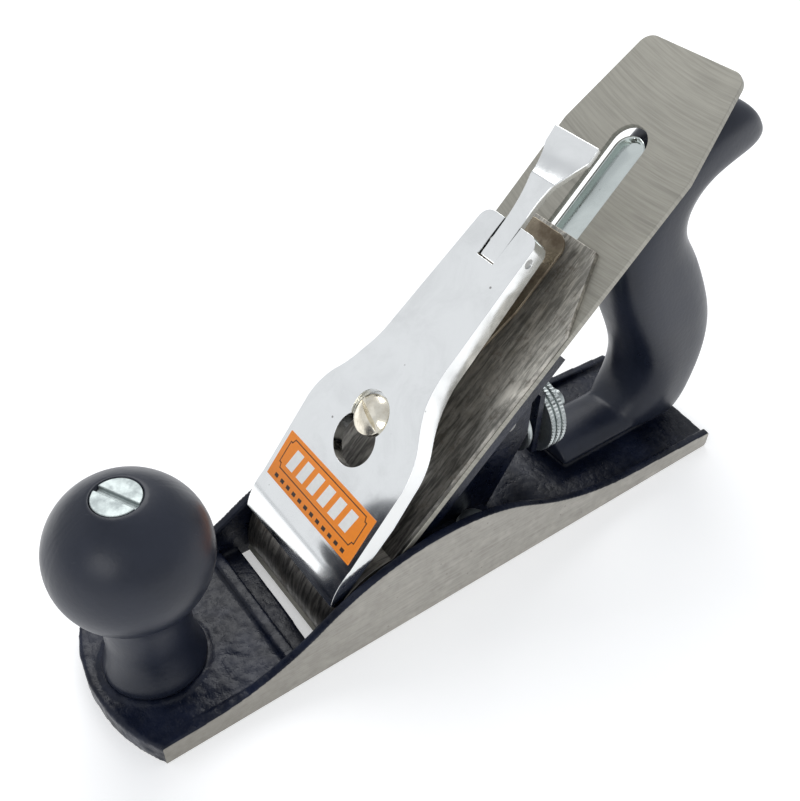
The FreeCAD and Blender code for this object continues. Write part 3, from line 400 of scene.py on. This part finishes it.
def lathe(name, profile, segments, radius_at):
    """Closed turned shape about Z from (radius, height) points in millimetres."""
    shape = bmesh.new()
    rings = []
    for step in range(segments):
        angle = 2 * math.pi * step / segments
        ring = []
        for index, (radius, height) in enumerate(profile):
            reach = radius_at(index, step, radius, height) * MM
            ring.append(shape.verts.new((reach * math.cos(angle), reach * math.sin(angle), height * MM)))
        rings.append(ring)
    for step in range(segments):
        here, there = rings[step], rings[(step + 1) % segments]
        for index in range(len(profile)):
            after = (index + 1) % len(profile)
            shape.faces.new((here[index], there[index], there[after], here[after]))
    bmesh.ops.remove_doubles(shape, verts=shape.verts, dist=1e-7)
    return new_object(name, shape)


def casting():
    """Casting as one skin: lumpy enamel, with the ground sides and sole kept flat."""
    piece = remeshed("base_casting", 0.55, 2)
    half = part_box("base_casting")[1].y
    side_margin, side_snap = 0.45 * MM, 0.3 * MM
    sole_margin, sole_snap = 0.35 * MM, 0.25 * MM
    wall_rear, wall_front, wall_half, wall_top = 50.9 * MM, 53.4 * MM, 22.8 * MM, 4.4 * MM
    lean, lean_limit, lean_foot, lean_height = 1.2 * MM, 50.95 * MM, 0.4, 3.2
    deck_start, deck_run = 56 * MM, 10 * MM
    lump_size, deck_extra = 0.1, 0.26
    mesh = piece.data
    normals = [vertex.normal.copy() for vertex in mesh.vertices]
    places = [vertex.co.copy() for vertex in mesh.vertices]
    for at, normal in zip(places, normals):
        if abs(at.y) > half - side_margin or at.z < sole_margin:
            if abs(at.y) > half - side_snap:
                at.y = math.copysign(half, at.y)
            if at.z < sole_snap:
                at.z = 0
            continue
        # the front wall of the mouth leans back a little towards its top
        if wall_rear < at.x < wall_front and abs(at.y) < wall_half and at.z < wall_top:
            rise = min(1, max(0, (at.z / MM - lean_foot) / lean_height))
            at.x = min(at.x, max(lean_limit, at.x - lean * rise))
            continue
        deck = min(1, max(0, (at.x - deck_start) / deck_run))
        size = (lump_size + deck_extra * deck) * MM
        lump = noise.noise(at / (5 * MM)) * 0.7 + noise.noise(at / (2.2 * MM)) * 0.4
        at += normal * (lump * size)
        at.y = max(-half, min(half, at.y))
    mesh.vertices.foreach_set("co", [number for at in places for number in at])
    mesh.update()
    finish_piece(piece, "base_casting", CASTING)


def knob():
    """Ball on a waisted pedestal, with the seam of its two-part mould."""
    low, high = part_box("front_knob")
    centre_x = (low.x + high.x) / 2
    foot, top = low.z / MM, high.z / MM
    ball, ball_z = 20.2, 51.0
    waist, foot_radius = 11.4, 13.8
    flat, nut, nut_depth, bore = 6.4, 6.15, 2.3, 3.3
    lip = foot_radius - 0.3
    flare_start, flare_height, flare_steps, flare_curve = foot + 2.8, 11, 9, 2.2
    outer = [(bore, foot), (foot_radius - 0.8, foot), (foot_radius - 0.1, foot + 0.6),
             (foot_radius, foot + 1.6), (lip, flare_start)]
    for step in range(1, flare_steps):
        t = step / flare_steps
        outer.append((waist + (lip - waist) * (1 - t) ** flare_curve, flare_start + t * flare_height))
    start = math.asin(-math.sqrt(1 - (waist / ball) ** 2))
    end = math.acos(flat / ball)
    join = ball_z + ball * math.sin(start)
    for height in (foot + 14, 25.5, 29.5, join - 0.9):
        outer.append((waist, height))
    outer.append((waist + 0.25, join - 0.1))
    ball_steps = 40
    for step in range(1, ball_steps + 1):
        angle = start + (end - start) * step / ball_steps
        outer.append((ball * math.cos(angle), ball_z + ball * math.sin(angle)))
    outer += [(nut, top - 0.05), (nut, top - nut_depth), (bore, top - nut_depth)]
    segments, half_turn = 160, 80
    # how far the skin lies below the seam's crest: away from it, and right beside it
    below_seam, beside_seam = 0.02, 0.09

    def seam(index, step, radius, height):
        from_seam = step % half_turn
        unmarked = height < foot + 1 or height > top - 0.4 or radius < 5
        if unmarked or from_seam == 0:
            return radius
        return radius - (beside_seam if from_seam in (1, half_turn - 1) else below_seam)

    piece = lathe("knob_turned", outer, segments, seam)
    piece.data.transform(Matrix.Translation((centre_x, 0, 0)))
    finish_piece(piece, "front_knob", PLASTIC)


def tote():
    piece = remeshed("rear_tote", 0.7, 14)
    finish_piece(piece, "rear_tote", PLASTIC)


def depth_nut():
    """Knurled rings and a collar on a hub; the ends, radius and axis height come from the CAD box."""
    low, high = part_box("depth_nut")
    rear, front = low.x / MM, high.x / MM
    axis_z = (low.z + high.z) / 2
    radius = (high.z - low.z) / 2 / MM
    bore, hub, groove, rear_ease = 3.2, 4.6, 11.2, 0.5
    ring, pitch, ring_front, ring_count = 1.5, 2.2, -40.2, 3
    ring_ease, ring_corner, groove_gap = 0.35, 0.25, 0.1
    collar, collar_rear, collar_ease, face_ease = 9.5, front - 1.6, 0.3, 0.4
    knurl_depth, segments = 0.28, 132
    profile = [(bore, rear), (radius - rear_ease, rear)]
    knurled = set()
    for step in reversed(range(ring_count)):
        start = ring_front - step * pitch - ring
        for offset in (0.0, ring_corner, ring / 2, ring - ring_corner, ring):
            at_edge = offset in (0.0, ring)
            if not at_edge:
                knurled.add(len(profile))
            profile.append((radius - (ring_ease if at_edge else 0), start + offset))
        if step:
            profile += [(groove, start + ring + groove_gap), (groove, start + pitch - groove_gap)]
    profile += [(hub, ring_front), (hub, collar_rear), (collar - collar_ease, collar_rear),
                (collar, collar_rear + collar_ease), (collar, front - face_ease),
                (collar - face_ease, front), (bore, front)]

    def knurl(index, step, value, height):
        return value - knurl_depth if index in knurled and step % 2 else value

    piece = lathe("knurled_nut", profile, segments, knurl)
    piece.data.transform(Matrix.Translation((0, 0, axis_z)) @ Matrix.Rotation(math.radians(90), 4, "Y"))
    finish_piece(piece, "depth_nut", ZINC)
    # the knurling shows only with flat faces
    for polygon in piece.data.polygons:
        polygon.use_smooth = False


def lateral_trough():
    """Lateral lever: a flat tail under the iron that becomes a round-ended trough at its finger end."""
    start, end = 86.5, 163.5
    tail_half, trough_half, wall = 3.9, 4.7, 0.75
    rim, tail_floor, trough_floor, floor_thickness = -2.42, -3.5, -5.9, 1.0
    sink_start, sink_run = 104, 6
    sliver, corner = 0.02, 0.3
    floor_width, inner_floor_width = 0.9, 0.96
    round_start = end - trough_half
    straight_steps, round_steps = 24, 10
    stations = [start + (round_start - start) * step / straight_steps for step in range(straight_steps + 1)]
    stations += [round_start + trough_half * math.sin(math.radians(90 * step / round_steps))
                 for step in range(1, round_steps + 1)]
    shape = bmesh.new()
    sections = []
    for up in stations:
        sunk = min(1, max(0, (up - sink_start) / sink_run))
        sunk = sunk * sunk * (3 - 2 * sunk)
        past_end = max(0, up - round_start)
        before_start = max(0, start + tail_half - up)
        half = tail_half + (trough_half - tail_half) * sunk
        reach = max(past_end, before_start) / half
        outer = half * math.sqrt(max(0, 1 - reach * reach)) + sliver
        inner_reach = min(1, reach * half / (half - wall))
        inner = max(sliver / 2, (half - wall) * math.sqrt(1 - inner_reach * inner_reach))
        under = tail_floor + (trough_floor - tail_floor) * sunk
        inside = rim + (under + floor_thickness - rim) * sunk - sliver * (1 - sunk)
        if inner < sliver:
            inside = rim - sliver
        section = [(-outer, rim), (-outer, under + corner),
                   (-outer * floor_width, under), (outer * floor_width, under),
                   (outer, under + corner), (outer, rim), (inner, rim),
                   (inner * inner_floor_width, inside + sliver),
                   (-inner * inner_floor_width, inside + sliver), (-inner, rim)]
        sections.append([shape.verts.new(on_bed(up, side, out)) for side, out in section])
    count = len(sections[0])
    for here, there in zip(sections, sections[1:]):
        for index in range(count):
            after = (index + 1) % count
            shape.faces.new((here[index], here[after], there[after], there[index]))
    shape.faces.new(list(reversed(sections[0])))
    shape.faces.new(sections[-1])
    piece = new_object("lateral_trough", shape)
    ease = piece.modifiers.new("ease", "BEVEL")
    ease.width = 0.2 * MM
    ease.segments = 2
    ease.limit_method = "ANGLE"
    ease.angle_limit = math.radians(40)
    finish_piece(piece, "lateral_lever", LEVER_CHROME)
    apply_modifiers(piece)


# lever cap face from its bend to its ridge: distance up the bed and height above it, as in the CAD part
FACE_BEND, FACE_BEND_HIGH, FACE_RIDGE, FACE_RIDGE_HIGH = 30, 15.1, 76, 21
# print on the label: height of its underside above that face, and its own thickness
PRINT_LIFT, PRINT_THICKNESS = 0.19, 0.03


def face_height(up):
    """Height of the lever cap's face above the bed."""
    return FACE_BEND_HIGH + (up - FACE_BEND) * (FACE_RIDGE_HIGH - FACE_BEND_HIGH) / (FACE_RIDGE - FACE_BEND)


def printed_patch(name, outline, material):
    """Thin flat shape on the label, from (up, side) points in millimetres."""
    node = "label"
    shape = bmesh.new()
    lower, upper = [], []
    for up, side in outline:
        underside = face_height(up) + PRINT_LIFT
        lower.append(shape.verts.new(on_bed(up, side, underside)))
        upper.append(shape.verts.new(on_bed(up, side, underside + PRINT_THICKNESS)))
    shape.faces.new(upper)
    shape.faces.new(list(reversed(lower)))
    for index in range(len(outline)):
        after = (index + 1) % len(outline)
        shape.faces.new((lower[index], lower[after], upper[after], upper[index]))
    piece = new_object(name, shape)
    piece.data.materials.append(material)
    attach(piece, body_of[node])


def stroke_outline(begin, end, width):
    """Corners of a straight stroke that runs half its width past both of its points."""
    rise, run = end[0] - begin[0], end[1] - begin[1]
    share = width / 2 / math.hypot(rise, run)
    along = (rise * share, run * share)
    across = (run * share, -rise * share)
    corners = []
    for point, forward, sideways in ((begin, -1, 1), (end, 1, 1), (end, 1, -1), (begin, -1, -1)):
        corners.append((point[0] + forward * along[0] + sideways * across[0],
                        point[1] + forward * along[1] + sideways * across[1]))
    return corners


def label():
    """Orange film with a notched border, pale slanted bars and a row of dark dashes."""
    nodes["label"].data.materials.clear()
    nodes["label"].data.materials.append(print_ink("label_orange", (0.93, 0.27, 0.02), 0.35))
    ink = print_ink("label_black", (0.035, 0.022, 0.015))
    white = print_ink("label_white", (0.86, 0.86, 0.84))
    low, high, half = 34.6, 43.9, 18.4
    notch, notch_inner, stroke = 1.3, 0.6, 0.28
    corners = []
    inward = ((low, -half, 1, 1), (low, half, 1, -1), (high, half, -1, -1), (high, -half, -1, 1))
    for u, s, du, ds in inward:
        steps = [(u + du * notch, s), (u + du * notch, s + ds * notch * notch_inner), (u, s + ds * notch)]
        corners += steps if (s < 0) == (u == low) else list(reversed(steps))
    for index, corner in enumerate(corners):
        following = corners[(index + 1) % len(corners)]
        printed_patch(f"label_border_{index}", stroke_outline(corner, following, stroke), ink)

    bar_low, bar_high, bar_width, bar_slant = 36.2, 42.3, 3.3, 1.0
    bar_start, bar_pitch = -15.6, 5.3
    for index in range(6):
        s = bar_start + index * bar_pitch
        bar = [(bar_low, s), (bar_low, s + bar_width),
               (bar_high, s + bar_slant + bar_width), (bar_high, s + bar_slant)]
        printed_patch(f"label_bar_{index}", bar, white)

    dash_low, dash_high, dash_width = 31.7, 32.8, 1.5
    dash_start, dash_pitch = -17.4, 3.0
    for index in range(12):
        s = dash_start + index * dash_pitch
        dash = [(dash_low, s), (dash_low, s + dash_width), (dash_high, s + dash_width), (dash_high, s)]
        printed_patch(f"label_dash_{index}", dash, ink)


casting()
knob()
tote()
depth_nut()
label()
machined("knob_nut", DULL_ZINC_PAINTED_SHADE, 0.25)
machined("tote_nut", ZINC, 0.25)
machined("frog", ENAMEL, 0.5)
machined("frog_screws", ZINC, 0.2)
machined("frog_washers", ZINC, 0.15)
machined("cutting_iron", BLADE, 0.15, 2)
machined("cap_iron", PATINA_AND_PAINTED_SHADE, 0.25, 2)
machined("cap_iron_screw", STEEL, 0.15, 2)
machined("lever_cap", CHROME, 0.6, 4)
machined("lever_cap_spring", STRAW, 0.2, 2)
machined("lever_cap_screw", NICKEL, 0.2)
machined("cam_lever", CHROME, 0.35)
machined("yoke", ENAMEL, 0.4)
lateral_trough()
for name in ("knob_stud", "tote_stud", "depth_stud", "spring_rivet", "cam_pin", "yoke_pin", "lateral_rivet",
             "lateral_disc"):
    nodes[name].data.materials.clear()
    nodes[name].data.materials.append(STEEL if name != "depth_stud" else ZINC)


# ---------------------------------------------------------------- floor, light and camera

def floor():
    m = Nodes("pale_floor")
    grain = m.noise(3, 2)
    m.set(Base_Color=m.mix(m.ramp(grain, 0.3, 0.7), (0.86, 0.86, 0.86), (0.84, 0.84, 0.84)),
          Roughness=0.9, Emission_Color=(1, 1, 1), Emission_Strength=0.38)
    mesh = bpy.data.meshes.new("floor")
    half = 6
    corners = [(-half, -half, 0), (half, -half, 0), (half, half, 0), (-half, half, 0)]
    mesh.from_pydata(corners, [], [(0, 1, 2, 3)])
    mesh.materials.append(m.material)
    piece = bpy.data.objects.new("floor", mesh)
    # just under the sole, so that the two faces don't share a plane
    piece.location.z = -0.2 * MM
    bpy.context.scene.collection.objects.link(piece)


def area_light(name, place, target, size, power):
    light = bpy.data.lights.new(name, "AREA")
    light.shape = "RECTANGLE"
    light.size, light.size_y = size
    light.energy = power
    lamp = bpy.data.objects.new(name, light)
    lamp.location = place
    lamp.rotation_euler = (Vector(target) - Vector(place)).to_track_quat("-Z", "Y").to_euler()
    bpy.context.scene.collection.objects.link(lamp)


def sky():
    world = bpy.data.worlds.new("studio")
    world.use_nodes = True
    background = world.node_tree.nodes["Background"]
    background.inputs["Color"].default_value = (0.93, 0.96, 1, 1)
    background.inputs["Strength"].default_value = 0.62
    bpy.context.scene.world = world


def camera():
    """The photograph's view: from above the toe on the left side of the plane."""
    place, target, roll = Vector((0.12728, 0.152826, 0.232045)), Vector((0.009316, 0, 0.050742)), 2.292
    data = bpy.data.cameras.new("camera")
    data.lens = 43.65
    data.sensor_width = 36
    data.shift_x, data.shift_y = 0.0016, 0.029
    data.clip_start = 0.01
    view = bpy.data.objects.new("camera", data)
    turn = (target - place).to_track_quat("-Z", "Y").to_matrix().to_4x4()
    view.matrix_world = Matrix.Translation(place) @ turn @ Matrix.Rotation(math.radians(roll), 4, "Z")
    bpy.context.scene.collection.objects.link(view)
    bpy.context.scene.camera = view


floor()
sky()
area_light("key", (-0.3, -0.6, 0.9), (0, 0, 0.05), (0.7, 0.7), 5)
area_light("fill", (0.9, 0.5, 0.6), (0, 0, 0.05), (0.6, 0.4), 2)
area_light("panel", (0.99, -0.84, 0.7), (0, 0, 0.08), (1.2, 1.2), 0.8)
camera()
bpy.context.scene.view_settings.view_transform = "Standard"
